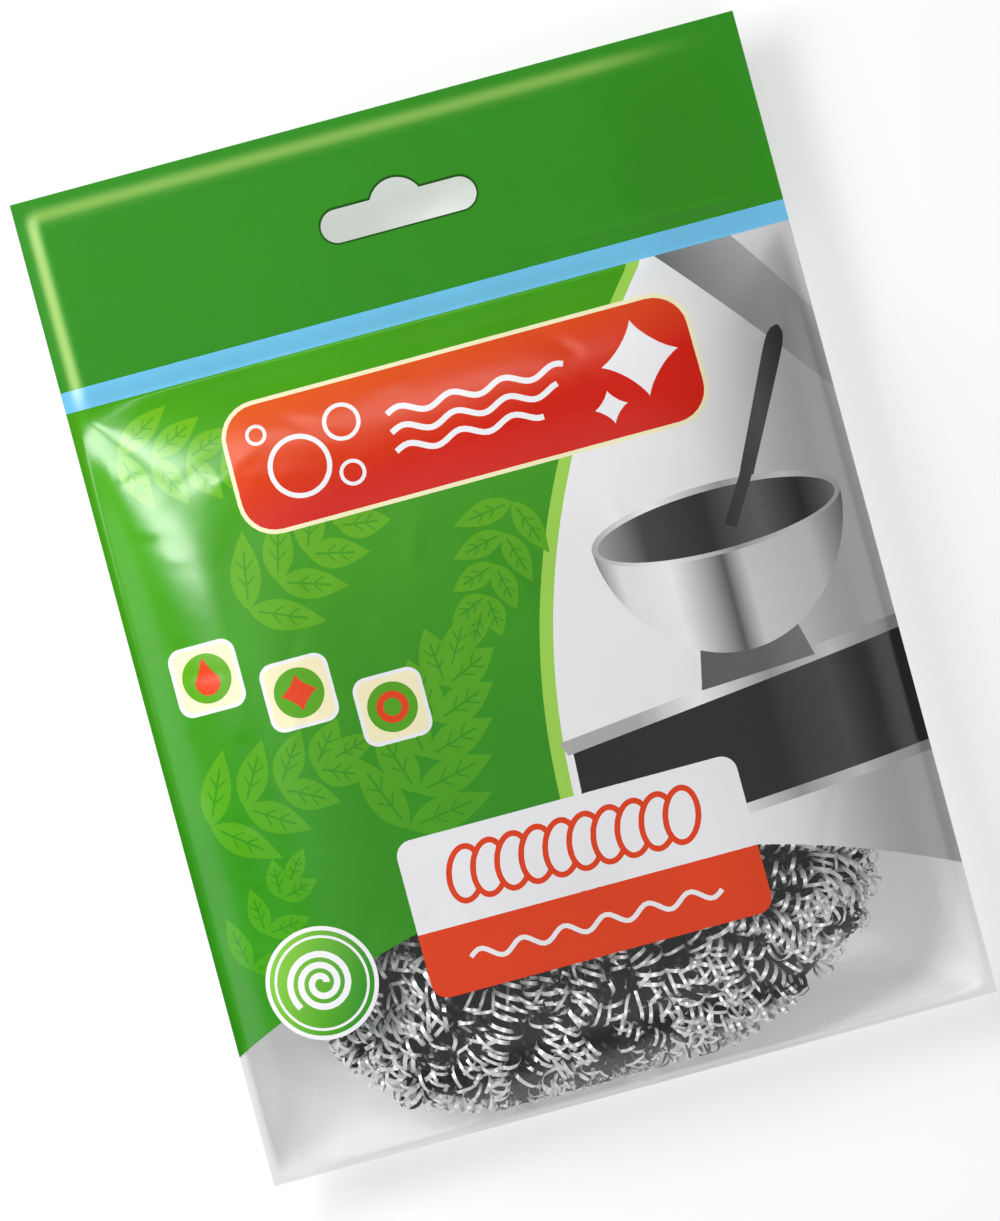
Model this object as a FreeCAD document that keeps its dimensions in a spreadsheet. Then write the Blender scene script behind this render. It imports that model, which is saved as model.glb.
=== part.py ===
"""Steel spiral pot scrubber in its hanging film pouch, as separate pieces.

The pouch lies on its back: +X runs across the pack, +Y towards the hanging header and +Z up
through the front film. The origin is on the table, under the middle of the pack. All lengths are
in millimetres. The scourer rests on the back film at the bottom end of the pouch.
"""

import FreeCAD
import Part
import Sketcher
import math
import os

from FreeCAD import Placement, Rotation, Vector

# Driving dimensions: each has one cell in the sheet. Lengths are in millimetres.
SIZES = (
    ("pack_width", 140.0),        # film pack, edge to edge
    ("pack_length", 190.0),
    ("header_height", 36.5),      # top edge down to the seal band
    ("seal_width", 4.0),          # band that closes the pouch under the header
    ("weld_width", 1.5),          # side and bottom welds
    ("film_thickness", 0.25),     # one ply
    ("crease_gap", 0.1),          # between the seal band and the header that folds on it
    ("fit_clearance", 0.3),       # between pieces that lie against each other
    ("slot_length", 30.0),        # hanging slot, end to end
    ("slot_height", 6.4),
    ("slot_drop", 19.7),          # top edge down to the slot's middle
    ("bump_radius", 5.25),        # round bump on the slot's upper side
    ("bump_offset", 0.95),        # bump's centre above the slot's middle
    ("flat_corner_radius", 20.0),  # corners of the flat that the pack rests on
    ("rim_corner_radius", 1.0),   # corners of the back film at its welds
    ("side_room", 11.0),          # scourer to the side welds
    ("bottom_room", 1.5),         # scourer to the bottom weld
    ("top_room", 8.0),            # scourer to the seal band at the end of its travel
    ("crown_room", 1.0),          # scourer to the front film at its crown
    ("core_length", 68.0),        # packed inner strands, along the pack
    ("core_rise", 8.35),          # their height at the middle
    ("coil_diameter", 7.0),       # outside of a spiral strand
    ("wire_diameter", 0.9),
    ("strand_twist", 55.0),       # degrees that a strand turns on its way out to the rim
    ("tie_diameter", 12.0),       # tie at the middle, outside
    ("tie_pitch", 1.6),
)

# Plain counts and shares, which carry no unit.
COUNTS = (
    ("strand_count", 8),
    ("curls_per_strand", 12),
    ("tie_turns", 2),
    ("edge_fullness", 4),         # how quickly the front film rises from its edges
    ("side_zone_share", 3.0),     # film's curved margins, as shares of its rise
    ("bottom_zone_share", 2.0),
    ("top_zone_share", 4.0),
    ("strand_start_share", 0.3),  # where a strand leaves the middle, as a share of the core's radius
)

# Places that follow from the driving dimensions.
PLACES = (
    ("half_width", "Sizes.pack_width / 2"),
    ("half_length", "Sizes.pack_length / 2"),
    ("pouch_half_width", "half_width - Sizes.weld_width"),
    ("pouch_low", "Sizes.weld_width - half_length"),
    ("seal_high", "half_length - Sizes.header_height"),
    ("pouch_high", "seal_high - Sizes.seal_width"),
    ("header_low", "seal_high + Sizes.crease_gap"),
    ("slot_place", "half_length - Sizes.slot_drop"),
    ("bump_place", "slot_place + Sizes.bump_offset"),
    # The weld plane is level with the core's flat underside, one strand above the back film.
    ("strand_offset", "Sizes.coil_diameter / 2 + Sizes.fit_clearance"),
    ("strand_reach", "Sizes.coil_diameter + Sizes.fit_clearance"),
    ("weld_level", "Sizes.film_thickness + Sizes.fit_clearance + strand_reach"),
    ("back_ply_level", "weld_level - Sizes.film_thickness"),
    ("core_half_width", "pouch_half_width - Sizes.side_room - strand_reach"),
    ("core_half_length", "Sizes.core_length / 2"),
    ("scourer_place", "pouch_low + Sizes.bottom_room + strand_reach + core_half_length"),
    # The front film clears the scourer's crown and curves down to its edges over these margins.
    ("film_rise", "Sizes.core_rise + strand_reach + Sizes.crown_room"),
    ("side_zone", "Sizes.side_zone_share * film_rise"),
    ("bottom_zone", "Sizes.bottom_zone_share * film_rise"),
    ("top_zone", "Sizes.top_zone_share * film_rise"),
    # The back film slopes from its welds to the flat, a clearance away from the scourer's round rim.
    ("rim_radius", "strand_reach + Sizes.fit_clearance"),
    ("side_slope", "sqrt((Sizes.side_room + strand_reach) ^ 2 - rim_radius ^ 2)"),
    ("bottom_slope", "sqrt((Sizes.bottom_room + strand_reach) ^ 2 - rim_radius ^ 2)"),
    ("top_slope", "sqrt((Sizes.top_room + strand_reach) ^ 2 - rim_radius ^ 2)"),
    ("flat_half_width", "pouch_half_width - side_slope"),
    ("flat_low", "pouch_low + bottom_slope"),
    ("flat_high", "pouch_high - top_slope"),
    ("no_height", "0"),
)

# Sampling of the free-form shapes.
FILM_COLUMNS = 24
FILM_ROWS = 28
PATH_SAMPLES = 240
ARC_SAMPLES = 6
TANGENT_STEP_SHARE = 1e-4
LEAST_CUT_SHARE = 1e-4

doc = FreeCAD.newDocument("pot_scrubber")
sheet = doc.addObject("Spreadsheet::Sheet", "Sizes")
places = doc.addObject("App::VarSet", "Places")
pieces = []


def fill_sheet():
    for row, (alias, number) in enumerate(SIZES + COUNTS, start=1):
        sheet.set(f"A{row}", alias)
        sheet.set(f"B{row}", str(number))
        sheet.setAlias(f"B{row}", alias)
    doc.recompute()
    for name, formula in PLACES:
        places.addProperty("App::PropertyFloat", name)
        places.setExpression(name, formula)
    doc.recompute()


def ref(name):
    """The expression that reads a size or a place."""
    return f"Places.{name}" if name in places.PropertiesList else f"Sizes.{name}"


def value(name):
    """The number that a size or a place holds now."""
    return getattr(places, name) if name in places.PropertiesList else float(sheet.get(name))


def keep(piece, label):
    """Lists an object as a piece of the assembly, under the name that its file takes."""
    piece.Label = label
    pieces.append(piece)
    return piece


# Sketches. In a constraint, geometry -1 with point 1 is the sketch's origin, and geometry -2 its Y axis.


def new_sketch(body, name, level):
    """A sketch on the body's own XY plane, raised to a level."""
    plane = next(p for p in body.Origin.OriginFeatures if p.Role == "XY_Plane")
    sketch = body.newObject("Sketcher::SketchObject", name)
    sketch.AttachmentSupport = [(plane, "")]
    sketch.MapMode = "FlatFace"
    sketch.setExpression("AttachmentOffset.Base.z", ref(level))
    return sketch


def dimension(sketch, kind, point, name):
    """A distance from the origin to a sketch point that follows a size or a place of either sign."""
    number = value(name)
    if number >= 0:
        distance = Sketcher.Constraint(kind, -1, 1, *point, number)
    else:
        distance = Sketcher.Constraint(kind, *point, -1, 1, -number)
    index = sketch.addConstraint(distance)
    sketch.renameConstraint(index, name)
    sketch.setExpression(f"Constraints.{name}", ref(name) if number >= 0 else f"-{ref(name)}")


def radius(sketch, arc, name):
    index = sketch.addConstraint(Sketcher.Constraint("Radius", arc, value(name)))
    sketch.renameConstraint(index, name)
    sketch.setExpression(f"Constraints.{name}", ref(name))


def line(x0, y0, x1, y1):
    return Part.LineSegment(Vector(x0, y0, 0), Vector(x1, y1, 0))


def arc(x, y, r, start, end):
    circle = Part.Circle(Vector(x, y, 0), Vector(0, 0, 1), r)
    return Part.ArcOfCircle(circle, math.radians(start), math.radians(end))


def rounded_outline(body, name, level, half_width, low, high, corner):
    """A rectangle with round corners, even about the Y axis."""
    sketch = new_sketch(body, name, level)
    w, y0, y1, r = (value(n) for n in (half_width, low, high, corner))
    sketch.addGeometry([
        line(r - w, y0, w - r, y0), arc(w - r, y0 + r, r, 270, 360),
        line(w, y0 + r, w, y1 - r), arc(w - r, y1 - r, r, 0, 90),
        line(w - r, y1, r - w, y1), arc(r - w, y1 - r, r, 90, 180),
        line(-w, y1 - r, -w, y0 + r), arc(r - w, y0 + r, r, 180, 270),
    ], False)
    count = sketch.GeometryCount
    for i in range(count):
        sketch.addConstraint(Sketcher.Constraint("Tangent", i, 2, (i + 1) % count, 1))
    for i in (0, 4):
        sketch.addConstraint(Sketcher.Constraint("Horizontal", i))
    for i in (2, 6):
        sketch.addConstraint(Sketcher.Constraint("Vertical", i))
    for i in (3, 5):
        sketch.addConstraint(Sketcher.Constraint("Equal", 1, i))
    sketch.addConstraint(Sketcher.Constraint("Symmetric", 2, 1, 6, 2, -2))
    dimension(sketch, "DistanceX", (2, 1), half_width)
    dimension(sketch, "DistanceY", (0, 1), low)
    dimension(sketch, "DistanceY", (4, 1), high)
    radius(sketch, 1, corner)
    return sketch


def plain_outline(body, name, level, half_width, low, high):
    """A rectangle with sharp corners, even about the Y axis."""
    sketch = new_sketch(body, name, level)
    w, y0, y1 = (value(n) for n in (half_width, low, high))
    sketch.addGeometry([
        line(-w, y0, w, y0), line(w, y0, w, y1), line(w, y1, -w, y1), line(-w, y1, -w, y0),
    ], False)
    count = sketch.GeometryCount
    for i in range(count):
        sketch.addConstraint(Sketcher.Constraint("Coincident", i, 2, (i + 1) % count, 1))
    for i in (1, 3):
        sketch.addConstraint(Sketcher.Constraint("Vertical", i))
    sketch.addConstraint(Sketcher.Constraint("Horizontal", 2))
    sketch.addConstraint(Sketcher.Constraint("Symmetric", 0, 1, 0, 2, -2))
    dimension(sketch, "DistanceX", (1, 1), half_width)
    dimension(sketch, "DistanceY", (0, 1), low)
    dimension(sketch, "DistanceY", (2, 1), high)
    return sketch


def slot_outline(body, name, level):
    """The hanging slot's long opening: two lines and two round ends."""
    sketch = new_sketch(body, name, level)
    r = value("slot_height") / 2
    reach = value("slot_length") / 2 - r
    y = value("slot_place")
    sketch.addGeometry([
        line(-reach, y - r, reach, y - r), arc(reach, y, r, 270, 450),
        line(reach, y + r, -reach, y + r), arc(-reach, y, r, 90, 270),
    ], False)
    count = sketch.GeometryCount
    for i in range(count):
        sketch.addConstraint(Sketcher.Constraint("Tangent", i, 2, (i + 1) % count, 1))
    sketch.addConstraint(Sketcher.Constraint("Horizontal", 0))
    sketch.addConstraint(Sketcher.Constraint("Symmetric", 1, 3, 3, 3, -2))
    dimension(sketch, "DistanceY", (1, 3), "slot_place")
    index = sketch.addConstraint(Sketcher.Constraint("Diameter", 1, 2 * r))
    sketch.renameConstraint(index, "slot_height")
    sketch.setExpression("Constraints.slot_height", ref("slot_height"))
    index = sketch.addConstraint(Sketcher.Constraint("DistanceX", 3, 3, 1, 3, 2 * reach))
    sketch.renameConstraint(index, "slot_run")
    sketch.setExpression("Constraints.slot_run", f"{ref('slot_length')} - {ref('slot_height')}")
    return sketch


def bump_outline(body, name, level):
    """The round bump on the upper side of the hanging slot, closed along the slot's middle."""
    sketch = new_sketch(body, name, level)
    slot, centre, r = (value(n) for n in ("slot_place", "bump_place", "bump_radius"))
    dip = math.asin((centre - slot) / r)
    reach = r * math.cos(dip)
    sketch.addGeometry([
        line(-reach, slot, reach, slot), arc(0, centre, r, -math.degrees(dip), 180 + math.degrees(dip)),
    ], False)
    sketch.addConstraint(Sketcher.Constraint("Coincident", 0, 2, 1, 1))
    sketch.addConstraint(Sketcher.Constraint("Coincident", 1, 2, 0, 1))
    sketch.addConstraint(Sketcher.Constraint("Horizontal", 0))
    sketch.addConstraint(Sketcher.Constraint("PointOnObject", 1, 3, -2))
    dimension(sketch, "DistanceY", (0, 1), "slot_place")
    dimension(sketch, "DistanceY", (1, 3), "bump_place")
    radius(sketch, 1, "bump_radius")
    return sketch


# Films, welds and header


def pad(body, name, sketch, length):
    feature = body.newObject("PartDesign::Pad", name)
    feature.Profile = sketch
    feature.setExpression("Length", ref(length))
    return feature


def loft(body, kind, name, first, last):
    feature = body.newObject(f"PartDesign::{kind}", name)
    feature.Profile = first
    feature.Sections = [last]
    feature.Ruled = True
    return feature


def edge_rise(distance, zone):
    """Share of the full rise at a distance from an edge: 0 on the edge, 1 past the curved margin."""
    return 1 - max(0.0, 1 - distance / zone) ** value("edge_fullness")


def film_height(x, y):
    """Height of the front film's inner side above the table."""
    share = edge_rise(value("pouch_half_width") - abs(x), value("side_zone"))
    share *= edge_rise(y - value("pouch_low"), value("bottom_zone"))
    share *= edge_rise(value("pouch_high") - y, value("top_zone"))
    return value("weld_level") + value("film_rise") * share


def make_front_film():
    """The printed front: a pillow-shaped sheet of even thickness, welded at its four edges."""
    half, low, high = (value(n) for n in ("pouch_half_width", "pouch_low", "pouch_high"))
    points = []
    for i in range(FILM_COLUMNS + 1):
        x = half * (2 * i / FILM_COLUMNS - 1)
        ys = (low + (high - low) * j / FILM_ROWS for j in range(FILM_ROWS + 1))
        points.append([Vector(x, y, film_height(x, y)) for y in ys])
    surface = Part.BSplineSurface()
    surface.interpolate(points)
    pillow = doc.addObject("Part::Feature", "pillow_surface")
    pillow.Shape = surface.toShape()
    film = doc.addObject("Part::Extrusion", "front_film")
    film.Base = pillow
    film.DirMode = "Custom"
    film.Dir = Vector(0, 0, 1)
    film.setExpression("LengthFwd", ref("film_thickness"))
    keep(film, "front_film")


def make_back_film():
    """The plain back: a flat that the pack rests on, with margins that rise to the welds."""
    body = doc.addObject("PartDesign::Body", "back_film")
    flat = ("flat_half_width", "flat_low", "flat_high", "flat_corner_radius")
    rim = ("pouch_half_width", "pouch_low", "pouch_high", "rim_corner_radius")
    flat_under = rounded_outline(body, "flat_under", "no_height", *flat)
    rim_under = rounded_outline(body, "rim_under", "back_ply_level", *rim)
    loft(body, "AdditiveLoft", "outer_tray", flat_under, rim_under)
    rim_lip = rounded_outline(body, "rim_lip", "back_ply_level", *rim)
    pad(body, "lip", rim_lip, "film_thickness")
    doc.recompute()
    full = body.Shape.Volume
    flat_over = rounded_outline(body, "flat_over", "film_thickness", *flat)
    rim_over = rounded_outline(body, "rim_over", "weld_level", *rim)
    loft(body, "SubtractiveLoft", "inside", flat_over, rim_over)
    doc.recompute()
    check_cut(body, full)
    keep(body, "back_film")


def check_cut(body, volume_before):
    """A cut that misses its solid leaves the volume as it was."""
    if body.Shape.Volume > volume_before * (1 - LEAST_CUT_SHARE):
        raise RuntimeError(f"{body.Name}: a cut removed nothing")


def make_strip(label, x0, x1, y0, y1):
    """A welded strip of both plies. Its edges are expressions in the sheet's and places' names."""
    strip = doc.addObject("Part::Box", label)
    strip.setExpression("Length", f"({x1}) - ({x0})")
    strip.setExpression("Width", f"({y1}) - ({y0})")
    strip.setExpression("Height", "2 * Sizes.film_thickness")
    strip.setExpression("Placement.Base.x", x0)
    strip.setExpression("Placement.Base.y", y0)
    strip.setExpression("Placement.Base.z", ref("back_ply_level"))
    keep(strip, label)


def make_welds():
    half, inner = ref("half_width"), ref("pouch_half_width")
    bottom, low, high = f"-{ref('half_length')}", ref("pouch_low"), ref("pouch_high")
    make_strip("left_side_weld", f"-{half}", f"-{inner}", bottom, high)
    make_strip("right_side_weld", inner, half, bottom, high)
    make_strip("bottom_weld", f"-{inner}", inner, bottom, low)
    make_strip("header_seal", f"-{half}", half, high, ref("seal_high"))


def make_header_ply(label, level):
    """One of the header's two plies, with the hanging slot punched through it."""
    body = doc.addObject("PartDesign::Body", label)
    outline = plain_outline(body, f"{label}_outline", level, "half_width", "header_low", "half_length")
    pad(body, f"{label}_sheet", outline, "film_thickness")
    for shape in (slot_outline, bump_outline):
        doc.recompute()
        full = body.Shape.Volume
        cut = body.newObject("PartDesign::Pocket", f"{label}_{shape.__name__}_cut")
        cut.Profile = shape(body, f"{label}_{shape.__name__}", level)
        cut.Reversed = True
        cut.setExpression("Length", ref("film_thickness"))
        doc.recompute()
        check_cut(body, full)
    keep(body, label)


# Scourer


def make_core():
    """The inner strands, packed into one flat-bottomed dome that the outer strands wrap."""
    core = doc.addObject("Part::Ellipsoid", "inner_strand_bundle")
    core.Angle1, core.Angle2, core.Angle3 = 0, 90, 360
    core.setExpression("Radius1", ref("core_rise"))
    core.setExpression("Radius2", ref("core_half_width"))
    core.setExpression("Radius3", ref("core_half_length"))
    core.setExpression("Placement.Base.y", ref("scourer_place"))
    core.setExpression("Placement.Base.z", ref("weld_level"))
    keep(core, "inner_strand_bundle")


def smooth(share):
    return share * share * (3 - 2 * share)


def rim_frame(angle):
    """Point of the core's rim at an angle about its middle, and the outward direction there."""
    wide, long = value("core_half_width"), value("core_half_length")
    spoke = Vector(wide * math.cos(angle), long * math.sin(angle), 0)
    outward = Vector(math.cos(angle) / wide, math.sin(angle) / long, 0).normalize()
    return spoke, outward


def strand_route(start_angle):
    """Points along a strand's middle, each with the direction away from the core.

    The strand leaves the middle over the dome, turns round the rim and comes back underneath.
    """
    rise, offset = value("core_rise"), value("strand_offset")
    inner, twist = value("strand_start_share"), math.radians(value("strand_twist"))
    up = Vector(0, 0, 1)
    route = []
    steep = math.acos(inner)
    for i in range(PATH_SAMPLES):
        lift = steep * (1 - i / PATH_SAMPLES)
        out = math.cos(lift)
        spoke, outward = rim_frame(start_angle + twist * (out - inner) / (1 - inner))
        spot = spoke * out + up * rise * math.sin(lift)
        wide, long = value("core_half_width"), value("core_half_length")
        away = Vector(spot.x / wide ** 2, spot.y / long ** 2, spot.z / rise ** 2).normalize()
        route.append((spot + away * offset, away))
    spoke, outward = rim_frame(start_angle + twist)
    for i in range(PATH_SAMPLES // 4):
        turn = math.pi / 2 * i / (PATH_SAMPLES // 4)
        away = outward * math.cos(turn) - up * math.sin(turn)
        route.append((spoke + away * offset, away))
    for i in range(PATH_SAMPLES + 1):
        share = i / PATH_SAMPLES
        spoke, outward = rim_frame(start_angle + twist * (1 + smooth(share)))
        route.append((spoke * (1 - (1 - inner) * share) - up * offset, -up))
    return route


def along(route):
    """A function that gives the point, the direction and the way out at a share of the route."""
    far = [0.0]
    for (a, _), (b, _) in zip(route, route[1:]):
        far.append(far[-1] + (b - a).Length)

    def at(share):
        wanted = min(max(share, 0.0), 1.0) * far[-1]
        i = next((k for k in range(1, len(far) - 1) if far[k] > wanted), len(far) - 1)
        part = (wanted - far[i - 1]) / (far[i] - far[i - 1])
        (a, out_a), (b, out_b) = route[i - 1], route[i]
        return a + (b - a) * part, (b - a).normalize(), out_a + (out_b - out_a) * part

    return at


def coil_point(at, share, curls, coil_radius):
    """A point of the wire that curls round a route."""
    middle, ahead, away = at(share)
    across = (away - ahead * away.dot(ahead)).normalize()
    side = ahead.cross(across)
    turn = 2 * math.pi * curls * share
    return middle + (across * math.cos(turn) + side * math.sin(turn)) * coil_radius


def biarc(start, start_way, end, end_way):
    """Two arcs that leave one point and reach another along the given directions."""
    span, ways = end - start, start_way + end_way
    spread = 2 * (1 - start_way.dot(end_way))
    reach = (math.sqrt(span.dot(ways) ** 2 + spread * span.dot(span)) - span.dot(ways)) / spread
    first, last = start + start_way * reach, end - end_way * reach
    joint = (first + last) * 0.5
    return [one_arc(start, first, joint), one_arc(joint, last, end)]


def one_arc(start, corner, end):
    """The arc that touches start-corner and corner-end."""
    middle = (start + end) * 0.5
    half, height = (end - start).Length / 2, (corner - middle).Length
    slope = math.atan2(height, half)
    return Part.Arc(start, middle + (corner - middle) * (math.tan(slope / 2) / math.tan(slope)), end)


def wire_solid(curve, half_turns):
    """A round wire along a curve of share 0 to 1, as biarcs of half a turn with straight ends."""
    step = TANGENT_STEP_SHARE
    stops = [i / half_turns for i in range(half_turns + 1)]
    spots = [curve(s) for s in stops]
    ways = []
    for s in stops:
        a, b = max(s - step, 0.0), min(s + step, 1.0)
        ways.append((curve(b) - curve(a)).normalize())
    arcs = []
    for i in range(half_turns):
        arcs += biarc(spots[i], ways[i], spots[i + 1], ways[i + 1])
    wire = value("wire_diameter")
    tail = Part.LineSegment(spots[0] - ways[0] * wire, spots[0])
    tip = Part.LineSegment(spots[-1], spots[-1] + ways[-1] * wire)
    path = Part.Wire([g.toShape() for g in (tail, *arcs, tip)])
    section = Part.Wire(Part.Circle(tail.StartPoint, ways[0], wire / 2).toShape())
    return path.makePipeShell([section], True, False), arcs


def least_gap(arcs):
    """Least gap between the wire and itself, measured on points more than two arcs apart."""
    spots = []
    for number, piece in enumerate(arcs):
        spots += [(number, spot) for spot in piece.toShape().discretize(ARC_SAMPLES)]
    near = min(
        (a - b).Length
        for i, (m, a) in enumerate(spots) for n, b in spots[i + 1:] if n - m > 2
    )
    return near - value("wire_diameter")


def make_wire_piece(label, curve, turns, place):
    shape, arcs = wire_solid(curve, 2 * turns)
    piece = doc.addObject("Part::Feature", label)
    piece.Shape = shape
    piece.Placement = place
    print(f"{label}: {turns} turns, least gap to itself {least_gap(arcs):.2f} mm")
    keep(piece, label)


def make_strands():
    """Spiral strands that start at the middle, one beside the other, and wrap the bundle."""
    count, curls = int(value("strand_count")), int(value("curls_per_strand"))
    coil_radius = (value("coil_diameter") - value("wire_diameter")) / 2
    place = Placement(Vector(0, value("scourer_place"), value("weld_level")), Rotation())
    for number in range(count):
        at = along(strand_route(2 * math.pi * number / count))
        make_wire_piece(
            f"spiral_strand_{number + 1}",
            lambda share, at=at: coil_point(at, share, curls, coil_radius),
            curls, place,
        )


def make_tie():
    """A short coil of the same wire on the dome's top, inside the ring of strand starts."""
    turns, pitch = int(value("tie_turns")), value("tie_pitch")
    wire = value("wire_diameter")
    ring = (value("tie_diameter") - wire) / 2
    level = value("weld_level") + value("core_rise") + value("fit_clearance") + wire / 2
    place = Placement(Vector(0, value("scourer_place"), level), Rotation())

    def curve(share):
        turn = 2 * math.pi * turns * share
        return Vector(ring * math.cos(turn), ring * math.sin(turn), pitch * turns * share)

    make_wire_piece("centre_tie", curve, turns, place)


# Export


def check_document():
    for item in doc.Objects:
        if {"Invalid", "Error"} & set(item.State):
            raise RuntimeError(f"{item.Label} failed: {item.State}")
    for piece in pieces:
        if piece.Shape.isNull() or not piece.Shape.isValid():
            raise RuntimeError(f"{piece.Label} has no valid shape")


def export():
    os.makedirs("parts", exist_ok=True)
    for piece in pieces:
        piece.Shape.exportStep(f"parts/{piece.Label}.step")
        box = piece.Shape.optimalBoundingBox()
        print(f"{piece.Label}: {len(piece.Shape.Solids)} solid, {piece.Shape.Volume:.1f} mm3,"
              f" {box.XLength:.1f} x {box.YLength:.1f} x {box.ZLength:.1f} mm")


fill_sheet()
make_front_film()
make_back_film()
make_welds()
make_header_ply("header_front_ply", "weld_level")
make_header_ply("header_back_ply", "back_ply_level")
make_core()
make_strands()
make_tie()
doc.recompute()
check_document()
export()
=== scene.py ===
"""Looks for a spiral steel pot scrubber in its hanging film pouch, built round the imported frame.

The pack lies on its back: +X runs across it, +Y towards the header and +Z up through the printed
front. Film, print and ribbons are laid out in millimetres from the pack's middle, and a mesh turns
them into metres when it is made.
"""

from math import asin, atan2, cos, degrees, hypot, pi, radians, sin, sqrt

import bmesh
import bpy
import numpy as np
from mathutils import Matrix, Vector, kdtree
from mathutils.geometry import delaunay_2d_cdt


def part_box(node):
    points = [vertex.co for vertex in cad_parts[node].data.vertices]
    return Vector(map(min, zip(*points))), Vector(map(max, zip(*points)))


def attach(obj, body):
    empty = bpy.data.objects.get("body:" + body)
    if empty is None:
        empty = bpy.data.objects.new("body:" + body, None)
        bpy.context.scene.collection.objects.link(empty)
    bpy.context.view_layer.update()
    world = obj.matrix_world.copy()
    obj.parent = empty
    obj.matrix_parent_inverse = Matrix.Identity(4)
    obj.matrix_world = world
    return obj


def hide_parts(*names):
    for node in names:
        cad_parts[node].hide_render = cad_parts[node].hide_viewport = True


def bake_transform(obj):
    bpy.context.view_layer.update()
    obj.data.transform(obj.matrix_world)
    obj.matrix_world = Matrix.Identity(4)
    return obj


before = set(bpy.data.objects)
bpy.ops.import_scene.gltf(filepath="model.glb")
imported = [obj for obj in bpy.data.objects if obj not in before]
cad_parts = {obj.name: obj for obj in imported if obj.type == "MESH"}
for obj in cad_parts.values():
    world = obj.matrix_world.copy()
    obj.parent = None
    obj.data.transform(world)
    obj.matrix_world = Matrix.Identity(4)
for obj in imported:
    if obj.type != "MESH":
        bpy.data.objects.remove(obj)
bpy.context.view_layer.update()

MM = 0.001
FULL_TURN = 2 * pi
EITHER_WAY = (-1, 1)
chance = np.random.default_rng(11)
between = chance.uniform


# Places read from the frame, in millimetres


def box_mm(node):
    low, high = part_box(node)
    return low / MM, high / MM


film_low, film_high = box_mm("front_film")
ply_low, ply_high = box_mm("header_front_ply")
bundle_low, bundle_high = box_mm("inner_strand_bundle")
strand_low, strand_high = box_mm("spiral_strand_4")
tie_low, tie_high = box_mm("centre_tie")
_, seal_high = box_mm("header_seal")
weld_low, _ = box_mm("bottom_weld")

HALF_WIDTH = seal_high.x
TOP = ply_high.y
BOTTOM = weld_low.y
FOLD = seal_high.y
WELD_LEVEL = film_low.z
PLY = ply_high.z - ply_low.z
POUCH_HALF = film_high.x
POUCH_LOW = film_low.y
POUCH_HIGH = film_high.y
FILM_RISE = film_high.z - WELD_LEVEL - PLY
BACK_DEPTH = WELD_LEVEL


# Film shape

FILM_THICK = 0.05
FILM_GAP = 0.06  # each ply to the weld plane
FULLNESS = 4  # how quickly a film rises from its welds
FRONT_ZONES = (3 * FILM_RISE, 2 * FILM_RISE, 4 * FILM_RISE)  # curved margins: sides, low end, high end
BACK_ZONES = (26.0, 15.0, 24.0)
DENT_SOFTNESS = 0.03  # rounds off where a dent of the back starts
FILM_LIFT = 0.45  # raises the front, so that its dents clear what it covers
WELD_FADE = 5.0  # creases die away this close to the welds
GLOSSY_SHARE = 0.80  # film that rises less than this share is glossy
DULL_SHARE = 0.93  # and past this one it is rubbed dull by what it covers
SPACING = 1.0  # mesh points on a film
FINE_SPACING = 0.55  # and on the ramps of its header

HEADER_SWELL = 1.2  # the loose front ply of the header stands up by this much
BACK_SWELL_SHARE = 0.5  # and the back ply goes down by this share of it
HEADER_EDGE = 1.0  # flat welded edge at the header's left and top
HEADER_SIDE_RAMP = 4.2
HEADER_TOP_RAMP = 5.0
HEADER_FAR_RAMP = 30.0  # on the right the plies close gently
SWELL_FADE = 3.0  # the swell dies away on the seal band and this far into the pouch
FULL_HIGHLIGHT_SLOPE = 0.62  # slope at which the highlight painted on the header's ramps is strongest
SLOPE_STEP = 0.05  # distance over which that slope is measured

CREASE_NARROW = 0.45  # a crease starts with this share of its width
CREASE_RISE = 0.12  # and rises and fades over these shares of its length
CREASE_FADE = 0.7
HEADER_CREASE = ((66.0, 60.6), radians(178.4), 56.0, 0.35, 1.0)

CORNER_CREASES = ((26, 30, -0.08), (44, 42, 0.12), (62, 28, -0.08))  # tilt, length and height
CORNER_TURN = 4  # degrees, either way
CORNER_LENGTHS = (0.85, 1.15)
CORNER_WIDTH = 3.4

PUCKER_STEP = 8.5
PUCKER_LOW = 18  # puckers start this far from the pouch's lower end
PUCKER_HIGH = 14  # and end this far from its upper end
PUCKER_TURN = 0.35  # radians, either way
PUCKER_SHIFT = 3
PUCKER_HEIGHTS = (0.12, 0.3)
PUCKER_LENGTHS = (9, 20)
PUCKER_WIDTHS = (1.0, 1.8)

MARK_HALF = 62  # handling marks start inside this half width
MARK_LOW = 8  # and this far from the pouch's ends
MARK_HIGH = 6
MARK_SHARES = (0.4, 1.0)
MARK_LENGTHS = (10, 34)
MARK_WIDTHS = (1.2, 3.0)
FRONT_MARKS = (46, 0.16)  # their number and greatest height
BACK_MARKS = (60, 0.22)

SWELL_WAVES = 9  # broad unevenness
SWELL_LENGTHS = (26, 60)
SWELL_HEIGHT = 0.35
FRONT_SEED = 3
BACK_SEED = 5


def smooth(share):
    share = np.clip(share, 0, 1)
    return share * share * (3 - 2 * share)


def smoother(share):
    share = np.clip(share, 0, 1)
    return share ** 3 * (share * (6 * share - 15) + 10)


def margin(distance, zone):
    """Share of a film's full rise at a distance from its weld: 0 on it, 1 past the curved margin."""
    return 1 - np.clip(1 - distance / zone, 0, 1) ** FULLNESS


def pillow(x, y, side, low, high):
    across = margin(POUCH_HALF - np.abs(x), side)
    return across * margin(y - POUCH_LOW, low) * margin(POUCH_HIGH - y, high)


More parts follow.
